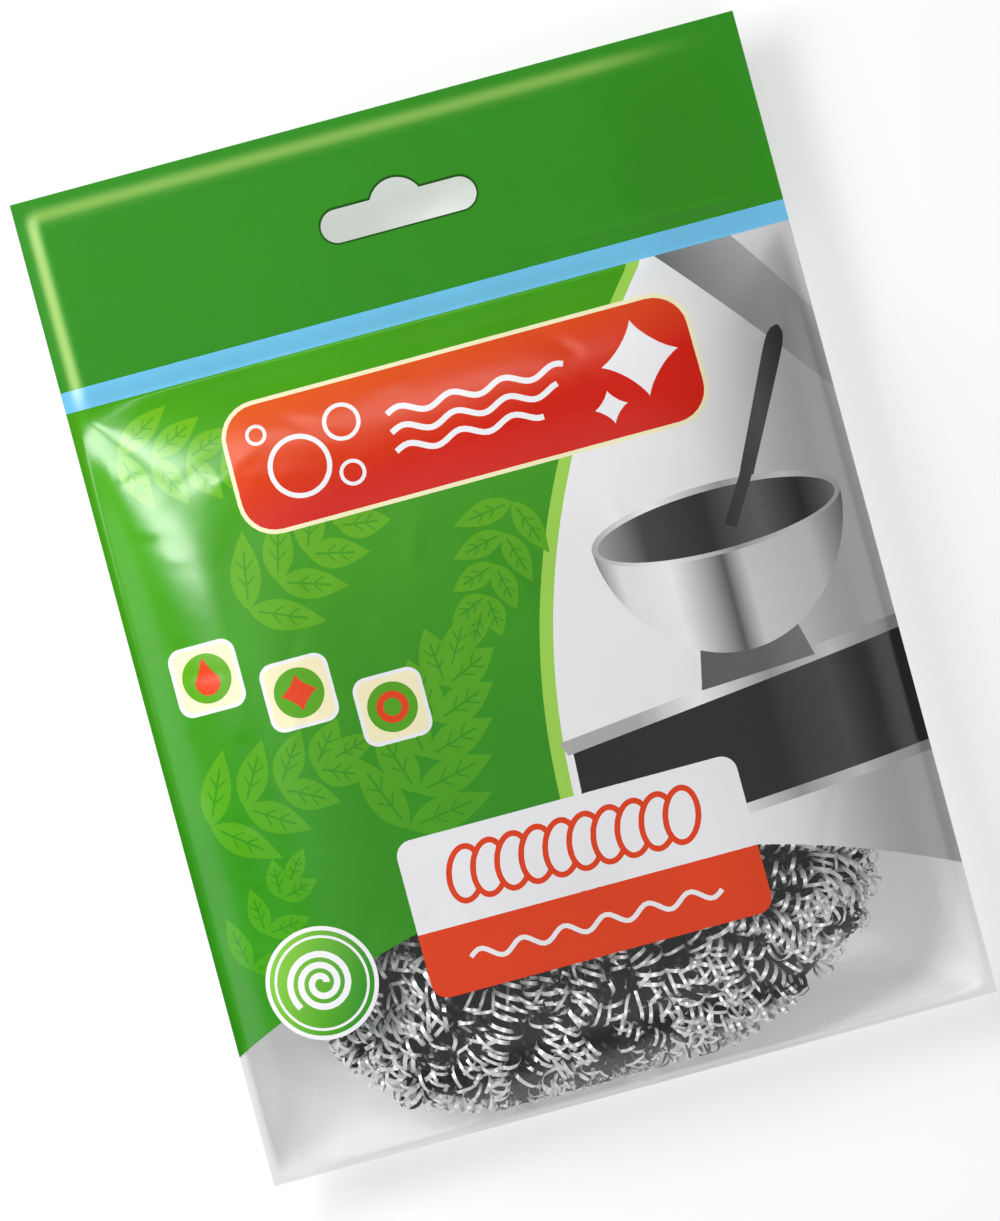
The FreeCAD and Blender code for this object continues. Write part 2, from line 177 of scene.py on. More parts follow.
def header_bulge(x, y):
    """Share of the header's swell without its fade: none on the welded edge, 1 past the ramps."""
    left = smoother((x + HALF_WIDTH - HEADER_EDGE) / HEADER_SIDE_RAMP)
    right = smooth((HALF_WIDTH - x) / HEADER_FAR_RAMP)
    return left * right * smoother((TOP - y - HEADER_EDGE) / HEADER_TOP_RAMP)


def header_fade(y):
    """1 on the header, falling to 0 over the seal band and the first of the pouch."""
    return smooth((y - POUCH_HIGH + SWELL_FADE) / (FOLD - POUCH_HIGH + SWELL_FADE))


def header_swell(x, y):
    return header_bulge(x, y) * header_fade(y)


def ridge_highlight(x, y):
    """Strength of the highlight painted on the header's ramps, from 0 to 1, growing with their slope."""
    across = header_bulge(x + SLOPE_STEP, y) - header_bulge(x - SLOPE_STEP, y)
    along = header_bulge(x, y + SLOPE_STEP) - header_bulge(x, y - SLOPE_STEP)
    slope = HEADER_SWELL * np.hypot(across, along) / (2 * SLOPE_STEP)
    return np.clip(slope / FULL_HIGHLIGHT_SLOPE, 0, 1) ** 2 * header_fade(y)


def rub(x, y):
    """How far the film is rubbed dull, from 0 on its curved margins to 1 on its flat middle."""
    share = pillow(x, y, *FRONT_ZONES)
    return smooth((share - GLOSSY_SHARE) / (DULL_SHARE - GLOSSY_SHARE))


def crease(x, y, start, angle, length, height, width):
    """A soft ridge, or a valley if its height is negative, that fades out along its length."""
    along = (x - start[0]) * cos(angle) + (y - start[1]) * sin(angle)
    aside = (y - start[1]) * cos(angle) - (x - start[0]) * sin(angle)
    share = along / length
    spread = width * (CREASE_NARROW + (1 - CREASE_NARROW) * np.clip(share, 0, 1))
    fade = smooth(share / CREASE_RISE) * smooth((1 - share) / CREASE_FADE)
    return height * fade * np.exp(-(aside / spread) ** 2)


def corner_creases():
    """Pinches that run from the pouch's corners towards its middle."""
    creases = []
    for side in EITHER_WAY:
        for end, corner_y in ((1, POUCH_LOW), (-1, POUCH_HIGH)):
            for tilt, length, height in CORNER_CREASES:
                angle = radians(tilt + between(-CORNER_TURN, CORNER_TURN))
                heading = atan2(end * sin(angle), -side * cos(angle))
                start = (side * POUCH_HALF, corner_y)
                length *= between(*CORNER_LENGTHS)
                creases.append((start, heading, length, height, CORNER_WIDTH))
    return creases


def edge_creases():
    """Small puckers where the film leaves its side welds."""
    creases = []
    for side in EITHER_WAY:
        for y in np.arange(POUCH_LOW + PUCKER_LOW, POUCH_HIGH - PUCKER_HIGH, PUCKER_STEP):
            heading = (0 if side < 0 else pi) + between(-PUCKER_TURN, PUCKER_TURN)
            start = (side * POUCH_HALF, y + between(-PUCKER_SHIFT, PUCKER_SHIFT))
            height = between(*PUCKER_HEIGHTS) * chance.choice(EITHER_WAY)
            length = between(*PUCKER_LENGTHS)
            creases.append((start, heading, length, height, between(*PUCKER_WIDTHS)))
    return creases


def scattered_creases(count, most):
    """Faint handling marks all over the film."""
    creases = []
    for _ in range(count):
        across = between(-MARK_HALF, MARK_HALF)
        along = between(POUCH_LOW + MARK_LOW, POUCH_HIGH - MARK_HIGH)
        height = most * between(*MARK_SHARES) * chance.choice(EITHER_WAY)
        heading = between(0, FULL_TURN)
        length = between(*MARK_LENGTHS)
        creases.append(((across, along), heading, length, height, between(*MARK_WIDTHS)))
    return creases


def swells(x, y, seed):
    """Broad, gentle unevenness."""
    made = np.zeros_like(x)
    local = np.random.default_rng(seed)
    for _ in range(SWELL_WAVES):
        turn, phase = local.uniform(0, FULL_TURN, 2)
        length = local.uniform(*SWELL_LENGTHS)
        made += np.sin(FULL_TURN * (x * cos(turn) + y * sin(turn)) / length + phase)
    return made / SWELL_WAVES


front_creases = corner_creases() + edge_creases() + scattered_creases(*FRONT_MARKS)
back_creases = corner_creases() + edge_creases() + scattered_creases(*BACK_MARKS)


def edge_mask(x, y):
    """0 on the cut edges and welds, 1 a little way in, so that two welded films never cross."""
    inset = np.minimum(POUCH_HALF - np.abs(x), np.minimum(y - POUCH_LOW, POUCH_HIGH - y))
    return smooth(inset / WELD_FADE)


def unevenness(x, y, creases, seed):
    return sum(crease(x, y, *each) for each in creases) + SWELL_HEIGHT * swells(x, y, seed)


def front_height(x, y):
    rise = FILM_RISE * pillow(x, y, *FRONT_ZONES)
    marks = FILM_LIFT + unevenness(x, y, front_creases, FRONT_SEED)
    header = HEADER_SWELL * header_swell(x, y) + crease(x, y, *HEADER_CREASE)
    return WELD_LEVEL + FILM_GAP + rise + marks * edge_mask(x, y) + header


def back_height(x, y):
    sag = (BACK_DEPTH - 2 * FILM_GAP) * pillow(x, y, *BACK_ZONES)
    marks = unevenness(x, y, back_creases, BACK_SEED)
    dents = (marks + np.sqrt(marks ** 2 + DENT_SOFTNESS)) / 2
    low = WELD_LEVEL - FILM_GAP - sag + dents * edge_mask(x, y)
    return np.maximum(low, FILM_GAP) - BACK_SWELL_SHARE * HEADER_SWELL * header_swell(x, y)


# Outlines of the print, each an array of points in millimetres

ROUND_STEP = 0.7  # distance between points on round outlines
LEAF_STEP = 0.9
WAVE_STEP = 0.8
FEWEST_ROUND = 18  # points on the smallest ones
FEWEST_LEAF = 8
CORNER_POINTS = 8
STAR_POINTS = 48
DROP_POINTS = 40
SLOT_POINTS = 20  # on each of the slot's arcs
SPIRAL_POINTS = 26  # to a turn
LEAF_POWER = 0.8  # puts a leaf's widest place nearer its foot
STAR_POWER = 1.6  # hollows the sides of a star
DROP_POINT = 0.9  # how far a drop's point stands up, as a share of its radius
DROP_PINCH = 0.35  # and how much narrower it is there

SLOT_LENGTH = 30.0
SLOT_HEIGHT = 6.4
SLOT_DROP = 19.7  # from the top edge
BUMP_RADIUS = 5.25
BUMP_OFFSET = 0.95


def divide(corners):
    """A closed outline through corners, with points along its sides."""
    points = []
    for (x0, y0), (x1, y1) in zip(corners, [*corners[1:], corners[0]]):
        count = max(1, round(hypot(x1 - x0, y1 - y0) / SPACING))
        points += [(x0 + (x1 - x0) * k / count, y0 + (y1 - y0) * k / count) for k in range(count)]
    return np.array(points)


def counterclockwise(outline):
    x, y = outline.T
    area = np.sum(x * np.roll(y, -1) - y * np.roll(x, -1)) / 2
    return outline if area > 0 else outline[::-1]


def rectangle(x0, y0, x1, y1):
    return divide([(x0, y0), (x1, y0), (x1, y1), (x0, y1)])


def around(count):
    """Angles of points spread evenly round a circle."""
    return np.arange(count) * FULL_TURN / count


def turned(x, y, across, up, angle):
    """Points about a place, turned by an angle."""
    c, s = cos(angle), sin(angle)
    return np.stack([x + across * c - up * s, y + across * s + up * c], 1)


def ellipse(x, y, wide, high, turn=0.0):
    angles = around(max(FEWEST_ROUND, int(FULL_TURN * max(wide, high) / ROUND_STEP)))
    return turned(x, y, wide * np.cos(angles), high * np.sin(angles), turn)


def disc(x, y, radius):
    return ellipse(x, y, radius, radius)


def rounded(x, y, wide, high, corner):
    """A rectangle about a middle, with round corners."""
    corners = []
    for i, (sx, sy) in enumerate(((1, 1), (-1, 1), (-1, -1), (1, -1))):
        for angle in np.radians(np.linspace(90 * i, 90 * i + 90, CORNER_POINTS)):
            corners.append((x + sx * (wide / 2 - corner) + corner * cos(angle),
                            y + sy * (high / 2 - corner) + corner * sin(angle)))
    return divide(corners)


def leaf(x, y, angle, length, width):
    """A pointed leaf that starts at a place."""
    share = np.linspace(0, 1, max(FEWEST_LEAF, int(length / LEAF_STEP)))
    half = width / 2 * np.sin(pi * share ** LEAF_POWER)
    along = np.concatenate([share, share[-2:0:-1]]) * length
    aside = np.concatenate([half, -half[-2:0:-1]])
    return turned(x, y, along, aside, angle)


def sparkle(x, y, radius):
    """A star with four points and hollow sides."""
    angles = around(STAR_POINTS)
    across, up = np.cos(angles), np.sin(angles)
    return np.stack([x + radius * across * np.abs(across) ** STAR_POWER,
                     y + radius * up * np.abs(up) ** STAR_POWER], 1)


def drop(x, y, radius):
    """A water drop with its point upwards."""
    angles = around(DROP_POINTS)
    upper = np.sin(angles) > 0
    lift = np.where(upper, 1 + DROP_POINT * np.sin(angles) ** 6, 1.0)
    pinch = np.where(upper, 1 - DROP_PINCH * np.sin(angles) ** 2, 1.0)
    return np.stack([x + radius * pinch * np.cos(angles), y + radius * lift * np.sin(angles)], 1)


def unit(ways):
    return ways / np.linalg.norm(ways, axis=1, keepdims=True)


def stroke(points, width):
    """A line along points, of one width or of a width for each point."""
    points = np.array(points)
    width = np.broadcast_to(width, len(points))[:, None]
    ways = unit(np.gradient(points, axis=0))
    aside = np.stack([-ways[:, 1], ways[:, 0]], 1) * width / 2
    return np.concatenate([points + aside, (points - aside)[::-1]])


def wave(x0, x1, y, height, length, width):
    x = np.linspace(x0, x1, int((x1 - x0) / WAVE_STEP))
    return stroke(np.stack([x, y + height * np.sin(FULL_TURN * (x - x0) / length)], 1), width)


def spiral(x, y, inner, outer, turns, width):
    share = np.linspace(0, 1, int(SPIRAL_POINTS * turns))
    reach = inner + (outer - inner) * share
    angle = FULL_TURN * turns * share
    return stroke(np.stack([x + reach * np.cos(angle), y + reach * np.sin(angle)], 1), width)


def slot_outline(border=0.0):
    """The hanging slot, or a border round it: a long opening with a round bump on its upper side."""
    y = TOP - SLOT_DROP
    end = SLOT_HEIGHT / 2 + border
    reach = (SLOT_LENGTH - SLOT_HEIGHT) / 2
    bump = BUMP_RADIUS + border
    start = asin((end - BUMP_OFFSET) / bump)
    arcs = (
        (-reach, y, end, 90, 270),
        (reach, y, end, -90, 90),
        (0, y + BUMP_OFFSET, bump, degrees(start), 180 - degrees(start)),
    )
    corners = []
    for x, height, radius, first, last in arcs:
        for angle in np.radians(np.linspace(first, last, SLOT_POINTS)):
            corners.append((x + radius * cos(angle), height + radius * sin(angle)))
    return divide(corners)


# Layout of the print

PAST = 1.0  # colours run past the cut edge, which trims them
EDGE_POINTS = 140  # along the long curved edges
ARCH_TOP = -52.0  # clear window: its upper edge at the middle
ARCH_DROP = 18.0  # and how much lower it is at the sides
SWEEP_START = 3.0  # where the green ground ends, low down
SWEEP_WIDTH = 38.0  # and how much further right it ends at the seal
SWEEP_LOW = -45.0
SWEEP_LENGTH = 99
SWEEP_POWER = 2.2
SWEEP_LINE = 1.4  # white line beside the green
SWEEP_BORDER = 2.6  # pale border inside it
SLOT_BORDER = 0.35

MIDRIB_STEPS = 8
MIDRIB_WIDTH = 0.4
VEIN_WIDTH = 0.3
VEIN_POINTS = 4
VEIN_SHARES = (0.3, 0.5)  # along the leaf
VEIN_LEAN = 0.7
VEIN_REACH = 0.42  # of the leaf's width

FIRST_PAIR = 0.6  # of the step between the pairs of leaves on a sprig
PAIR_LEAN = 0.95  # lowest pair, and how much less the pair at the tip leans
PAIR_LEAN_LOSS = 0.35
PAIR_LENGTH = 0.52  # likewise, in shares of the sprig's size
PAIR_LENGTH_LOSS = 0.2
PAIR_WIDTH = 0.19
TIP_LENGTH = 0.34
TIP_WIDTH = 0.16
# Foot, direction, size and pairs of leaves of each sprig
SPRIGS = (
    (-66, 46, -0.35, 26, 4), (-50, 8, 0.5, 30, 4), (-68, -28, 0.25, 30, 4),
    (-30, -40, 1.05, 34, 5), (8, 20, -2.1, 24, 4), (-66, -58, 0.9, 22, 3),
)


def sweep_edge(y):
    """Where the green ground meets the grey one."""
    return SWEEP_START + SWEEP_WIDTH * np.clip((y - SWEEP_LOW) / SWEEP_LENGTH, 0, 1) ** SWEEP_POWER


def left_of_sweep(offset):
    """Everything on the green side of the sweeping edge, or of a line beside it."""
    left = -HALF_WIDTH - PAST
    y = np.linspace(BOTTOM, POUCH_HIGH + PAST, EDGE_POINTS)
    right = np.stack([sweep_edge(y) + offset, y], 1)
    return divide([(left, BOTTOM), *map(tuple, right), (left, POUCH_HIGH + PAST)])


def window():
    """The clear part of the front: everything under an arch."""
    x = np.linspace(HALF_WIDTH + PAST, -HALF_WIDTH - PAST, EDGE_POINTS)
    arch = np.stack([x, ARCH_TOP - ARCH_DROP * (x / HALF_WIDTH) ** 2], 1)
    return divide([(x[-1], BOTTOM - PAST), (x[0], BOTTOM - PAST), *map(tuple, arch)])


def veined_leaf(x, y, angle, length, width):
    """A leaf with its midrib and side veins."""
    made = [("leaf_light", leaf(x, y, angle, length, width))]
    along = np.array([cos(angle), sin(angle)])
    midrib = [np.array([x, y]) + along * length * k / MIDRIB_STEPS for k in range(1, MIDRIB_STEPS - 1)]
    made.append(("leaf_green", stroke(midrib, MIDRIB_WIDTH)))
    for share in VEIN_SHARES:
        for side in EITHER_WAY:
            lean = angle + side * VEIN_LEAN
            foot = np.array([x, y]) + along * length * share
            tip = foot + VEIN_REACH * width * np.array([cos(lean), sin(lean)])
            made.append(("leaf_green", stroke(np.linspace(foot, tip, VEIN_POINTS), VEIN_WIDTH)))
    return made


def sprig(x, y, angle, size, leaves):
    """A stem with pairs of leaves and one at its tip."""
    made = []
    for k in range(leaves):
        share = (k + FIRST_PAIR) / leaves
        foot = (x + size * share * cos(angle), y + size * share * sin(angle))
        length = size * (PAIR_LENGTH - PAIR_LENGTH_LOSS * share)
        for side in EITHER_WAY:
            lean = angle + side * (PAIR_LEAN - PAIR_LEAN_LOSS * share)
            made += veined_leaf(*foot, lean, length, size * PAIR_WIDTH)
    tip = (x + size * cos(angle), y + size * sin(angle))
    made += veined_leaf(*tip, angle, size * TIP_LENGTH, size * TIP_WIDTH)
    return made


def panel_print():
    """Red panel with bubbles, waves and sparkles, which are placed from its middle."""
    x, y = 2.0, 35.0
    bubbles = ((-32, -1.5, 6.0), (-22.5, 4.5, 3.6), (-22.8, -5.2, 2.5), (-38.5, 6.2, 2.0))
    waves = ((3.6, 34), (0.0, 32), (-3.6, 28))
    wave_start = x - 14
    wave_shape = {"height": 0.9, "length": 10, "width": 1.1}
    sparkles = ((34, 1.5, 7.5), (26.5, -6.0, 3.2))
    made = [
        ("print_cream", rounded(x, y, wide=90, high=25.5, corner=7)),
        ("print_red", rounded(x, y, wide=88.4, high=23.9, corner=6.3)),
    ]
    for dx, dy, radius in bubbles:
        line = 0.28 * sqrt(radius) + 0.25
        made.append(("print_white", disc(x + dx, y + dy, radius)))
        made.append(("print_red", disc(x + dx, y + dy, radius - line)))
    for dy, long in waves:
        made.append(("print_white", wave(wave_start, wave_start + long, y + dy, **wave_shape)))
    for dx, dy, radius in sparkles:
        made.append(("print_white", sparkle(x + dx, y + dy, radius)))
    return made


def icon(x, y, motif):
    return [
        ("print_white", rounded(x, y, wide=13, high=13, corner=2.6)),
        ("print_cream", rounded(x, y, wide=11.6, high=11.6, corner=2.0)),
        ("leaf_light", disc(x, y, radius=4.7)),
        ("print_orange", motif),
    ]


def icons_print():
    """Three icons: a drop, a sparkle and a ring."""
    first, second, third = (-57, 0), (-41, -7), (-25, -14)
    drop_lift = -0.8
    made = icon(*first, drop(first[0], first[1] + drop_lift, radius=2.4))
    made += icon(*second, sparkle(*second, radius=3.6))
    made += icon(*third, disc(*third, radius=3.0))
    made.append(("leaf_light", disc(*third, radius=1.7)))
    return made


def label_print():
    """White label with an orange foot and a drawn coil."""
    x, y = 1.0, -53.6
    wide, high, corner = 65.0, 30.0, 3
    foot = 12.5
    loops, first_loop, pitch = 10, x - 21, 4.6
    coil_y = y + 6.4
    coil_lean = -0.25
    wave_reach = 24
    made = [
        ("print_orange", rounded(x, y, wide, high, corner)),
        ("print_white", rounded(x, y + foot / 2, wide, high - foot, corner)),
        ("print_white", rectangle(x - wide / 2, y - high / 2 + foot, x + wide / 2, y)),
    ]
    for k in range(loops):
        place = first_loop + pitch * k
        made.append(("print_orange", ellipse(place, coil_y, wide=3.6, high=5.6, turn=coil_lean)))
        made.append(("print_white", ellipse(place, coil_y, wide=2.5, high=4.5, turn=coil_lean)))
    foot_wave = wave(x - wave_reach, x + wave_reach, y - 8.8, height=1.1, length=8, width=0.9)
    made.append(("print_white", foot_wave))
    return made


def badge_print():
    """Round badge with two white rings and a spiral."""
    x, y = -51.0, -60.0
    made = []
    for outer, inner in ((10.6, 9.8), (8.9, 8.4)):
        made.append(("print_white", disc(x, y, outer)))
        made.append(("badge_green", disc(x, y, inner)))
    made.append(("print_white", spiral(x, y, inner=0.9, outer=6.2, turns=2.6, width=1.2)))
    return made


def handle_widths(count, thin=2.3, swell=1.5, tip=1.8):
    """Widths along a spoon's handle, which swells towards a round end."""
    share = np.linspace(0, 1, count)
    rounding = np.sqrt(1 - np.linspace(-1, 1, count) ** 8)
    return thin + swell * rounding * share - tip * share ** 30


def bowl_print():
    """A mixing bowl with a spoon on a dark counter."""
    x, rim = 42.0, 4.0
    wide, deep = 24.0, 25.0
    rim_high, lip = 6.6, 1.1
    right = 71
    handle_points = 40
    handle = np.linspace((46, 4), (62.5, 36), handle_points)
    spoon = np.linspace((44, rim - 2), (50, 11.8), 14)
    angles = np.radians(np.linspace(180, 360, 50))
    depth = deep * np.sin(angles) * np.abs(np.sin(angles)) ** 0.15
    body = np.stack([x + wide * np.cos(angles), rim + depth], 1)
    seal = POUCH_HIGH + PAST
    return [
        ("print_shade", divide([(43, seal), (58, seal), (right, 36), (right, 21)])),
        ("print_dark", divide([(5, -31), (right, -24), (right, -46), (4, -50)])),
        ("print_steel", divide([(4, -50), (right, -46), (right, -48), (4, -52)])),
        ("print_steel", divide([(3, -28.6), (right, -21.6), (right, -24.2), (4, -31.2)])),
        ("print_dark", stroke(handle, handle_widths(handle_points))),
        ("print_shade", divide([(x - 9, -17), (x + 9, -17), (x + 11, -25), (x - 11, -26)])),
        ("print_bowl", divide([*map(tuple, body)])),
        ("print_steel", ellipse(x, rim, wide, rim_high)),
        ("bowl_inside", ellipse(x, rim - 0.2, wide - lip, 5.6)),
        ("print_dark", stroke(spoon, 2.3)),
    ]


def header_print():
    """The seal band and the header above it, with the slot cut out."""
    wide = HALF_WIDTH + PAST
    return [
        ("band_blue", rectangle(-wide, POUCH_HIGH, wide, TOP + PAST)),
        ("header_green", rectangle(-wide, FOLD, wide, TOP + PAST)),
        ("slot_rim", slot_outline(SLOT_BORDER)),
        (None, slot_outline()),
    ]


def front_print():
    """All colours of the front, from the ground up: a later outline covers an earlier one."""
    made = [
        ("print_ground", rectangle(-HALF_WIDTH, BOTTOM, HALF_WIDTH, TOP)),
        ("print_white", left_of_sweep(SWEEP_LINE)),
        ("leaf_edge", left_of_sweep(0)),
        ("leaf_green", left_of_sweep(-SWEEP_BORDER)),
    ]
    for place in SPRIGS:
        made += sprig(*place)
    made += bowl_print()
    made.append(("clear_film", window()))
    made += panel_print() + icons_print() + badge_print() + label_print()
    return made + header_print()


def back_print():
    return [("back_white", rectangle(-HALF_WIDTH, BOTTOM, HALF_WIDTH, TOP)), *header_print()]


# Materials

UV_SPAN = 100.0  # millimetres in one unit of the film's map
WHITE = (1, 1, 1, 1)
NOISE_LOW = 0.2  # most of a noise lies between these
NOISE_HIGH = 0.8

INK_LEVEL = 0.87  # ink on film is a little darker than on paper
INK_IOR = 1.45
INK_SPREAD = 0.05  # how far its colour drifts
INK_ROUGHNESS = 0.20  # of glossy ink
INK_RIPPLE = 0.06
DULL_ROUGHNESS = 0.54  # of film that is rubbed
DRIFT_SCALE = 5.0  # of the noise that shifts an ink's colour
GLOSS_SCALE = 16.0
GLOSS_DRIFT = 0.08
RIPPLE_SCALE = 30.0
RIPPLE_DEPTH = 0.0002

CLEAR_COLOUR = (0.99, 0.99, 0.99, 1)
HAZE_COLOUR = (0.9, 0.91, 0.92, 1)
CLEAR_ROUGHNESS = (0.24, 0.34)
CLEAR_RIPPLE = 0.08
CLEAR_GLOSS = (0.025, 0.3)  # share of light that clear film reflects, from straight on to edge on
CLEAR_BLEND = 0.12

STREAK_SCALE = 900.0
STREAK_DRIFT = 0.14
GRAIN_SCALE = 2600.0
GRAIN_STRENGTH = 0.15
GRAIN_DEPTH = 0.00005

FLOOR_DARK = (0.42, 0.42, 0.42, 1)
FLOOR_LIGHT = (0.45, 0.45, 0.45, 1)
FLOOR_SCALE = 3.0
FLOOR_ROUGHNESS = 0.8
FLOOR_GLOW = 0.55


def linear(colour, level=1.0):
    """A screen colour as linear light."""
    return tuple(level * ((c + 0.055) / 1.055) ** 2.4 for c in colour) + (1.0,)


def new_material(name):
    made = bpy.data.materials.new(name)
    made.use_nodes = True
    made.node_tree.nodes.clear()
    return made, made.node_tree


def feed(socket, value):
    """Set an input to a value, or link it to the output of another node."""
    if isinstance(value, bpy.types.NodeSocket):
        socket.id_data.links.new(value, socket)
    else:
        socket.default_value = value


def add(tree, kind, **inputs):
    node = tree.nodes.new(f"ShaderNode{kind}")
    for name, value in inputs.items():
        feed(node.inputs[name.replace("_", " ")], value)
    return node


def noise(tree, place, scale, detail=3.0):
    return add(tree, "TexNoise", Vector=place, Scale=scale, Detail=detail).outputs["Fac"]


def attribute(tree, name):
    node = add(tree, "Attribute")
    node.attribute_name = name
    return node.outputs["Fac"]


def mixed(tree, factor, first, second):
    """A colour between two others."""
    node = add(tree, "Mix")
    node.data_type = "RGBA"
    for name, value in (("Factor", factor), ("A", first), ("B", second)):
        feed(node.inputs[name], value)
    return node.outputs["Result"]


def ranged(tree, source, low, high, start=NOISE_LOW, end=NOISE_HIGH):
    node = add(tree, "MapRange", Value=source, From_Min=start, From_Max=end, To_Min=low, To_Max=high)
    return node.outputs["Result"]


def ramp_along(tree, source, way, stops):
    """Colours at places along a direction of the film's map, the places in millimetres."""
    node = add(tree, "VectorMath")
    node.operation = "DOT_PRODUCT"
    feed(node.inputs[0], source)
    feed(node.inputs[1], (*way, 0))
    start, end = stops[0][0], stops[-1][0]
    share = ranged(tree, node.outputs["Value"], 0.0, 1.0, start / UV_SPAN, end / UV_SPAN)
    ramp = add(tree, "ValToRGB", Fac=share)
    while len(ramp.color_ramp.elements) < len(stops):
        ramp.color_ramp.elements.new(0.5)
    for element, (place, colour) in zip(ramp.color_ramp.elements, stops):
        element.position = (place - start) / (end - start)
        element.color = linear(colour, INK_LEVEL)
    return ramp.outputs["Color"]


def bump(tree, height, strength, distance):
    return add(tree, "Bump", Height=height, Strength=strength, Distance=distance).outputs["Normal"]


def ripple(tree, place, strength):
    return bump(tree, noise(tree, place, RIPPLE_SCALE, detail=0.0), strength, RIPPLE_DEPTH)


def dulled(tree, gloss):
    """A film's roughness, which rises where it is rubbed."""
    return ranged(tree, attribute(tree, "rub"), gloss, DULL_ROUGHNESS, start=0.0, end=1.0)


def print_material(name, colour=None, fade=None, spread=INK_SPREAD, roughness=INK_ROUGHNESS, pale=None,
                   painted_glow=0.0):
    """Ink under film: its colour or fade drifts a little, pales into a painted highlight on the header's
    ramps, can glow as painted light, and ripples.
    """
    made, tree = new_material(name)
    place = add(tree, "UVMap").outputs["UV"]
    ink = ramp_along(tree, place, *fade) if fade else linear(colour, INK_LEVEL)
    drift = ranged(tree, noise(tree, place, DRIFT_SCALE), 1 - spread, 1 + spread)
    ink = add(tree, "HueSaturation", Color=ink, Value=drift).outputs["Color"]
    # Painted highlight: the ink pales towards a lighter colour where the header's ramps slope
    if pale:
        ink = mixed(tree, attribute(tree, "ridge_highlight"), ink, linear(pale, INK_LEVEL))
    gloss = ranged(tree, noise(tree, place, GLOSS_SCALE), roughness, roughness + GLOSS_DRIFT)
    shader = add(tree, "BsdfPrincipled", Base_Color=ink, Roughness=dulled(tree, gloss), IOR=INK_IOR,
                 Normal=ripple(tree, place, INK_RIPPLE), Emission_Color=WHITE, Emission_Strength=painted_glow)
    add(tree, "OutputMaterial", Surface=shader.outputs[0])
    return made


def clear_material(name):
    """Clear film: see-through, with its gloss and a trace of haze."""
    made, tree = new_material(name)
    place = add(tree, "UVMap").outputs["UV"]
    sheen = ranged(tree, noise(tree, place, GLOSS_SCALE), *CLEAR_ROUGHNESS)
    through = add(tree, "BsdfTransparent", Color=CLEAR_COLOUR)
    haze = add(tree, "BsdfPrincipled", Base_Color=HAZE_COLOUR, Metallic=1.0, Roughness=dulled(tree, sheen),
               Normal=ripple(tree, place, CLEAR_RIPPLE))
    facing = add(tree, "LayerWeight", Blend=CLEAR_BLEND).outputs["Facing"]
    gloss = ranged(tree, facing, *CLEAR_GLOSS, start=0.0, end=1.0)
    both = add(tree, "MixShader")
    for socket, source in zip(both.inputs, (gloss, through.outputs[0], haze.outputs[0])):
        feed(socket, source)
    add(tree, "OutputMaterial", Surface=both.outputs[0])
    return made


def steel_material(name, bright, dark, roughness, metallic=1.0):
    """Rolled ribbon, with streaks of duller metal."""
    made, tree = new_material(name)
    place = add(tree, "TexCoord").outputs["Object"]
    streaks = noise(tree, place, STREAK_SCALE)
    colour = mixed(tree, streaks, linear(dark), linear(bright))
    dullness = ranged(tree, streaks, roughness, roughness + STREAK_DRIFT)
    grain = bump(tree, noise(tree, place, GRAIN_SCALE), GRAIN_STRENGTH, GRAIN_DEPTH)
    shader = add(tree, "BsdfPrincipled", Base_Color=colour, Metallic=metallic, Roughness=dullness,
                 Normal=grain)
    add(tree, "OutputMaterial", Surface=shader.outputs[0])
    return made


def floor_material(name):
    made, tree = new_material(name)
    place = add(tree, "TexCoord").outputs["Object"]
    shades = mixed(tree, noise(tree, place, FLOOR_SCALE), FLOOR_DARK, FLOOR_LIGHT)
    shader = add(tree, "BsdfPrincipled", Base_Color=shades, Roughness=FLOOR_ROUGHNESS,
                 Specular_IOR_Level=0.0, Emission_Color=WHITE, Emission_Strength=FLOOR_GLOW)
    add(tree, "OutputMaterial", Surface=shader.outputs[0])
    return made


def greys(*stops):
    """A ramp of greys across the print, from places and levels."""
    return (1.0, 0.0), [(place, (level, level, level)) for place, level in stops]
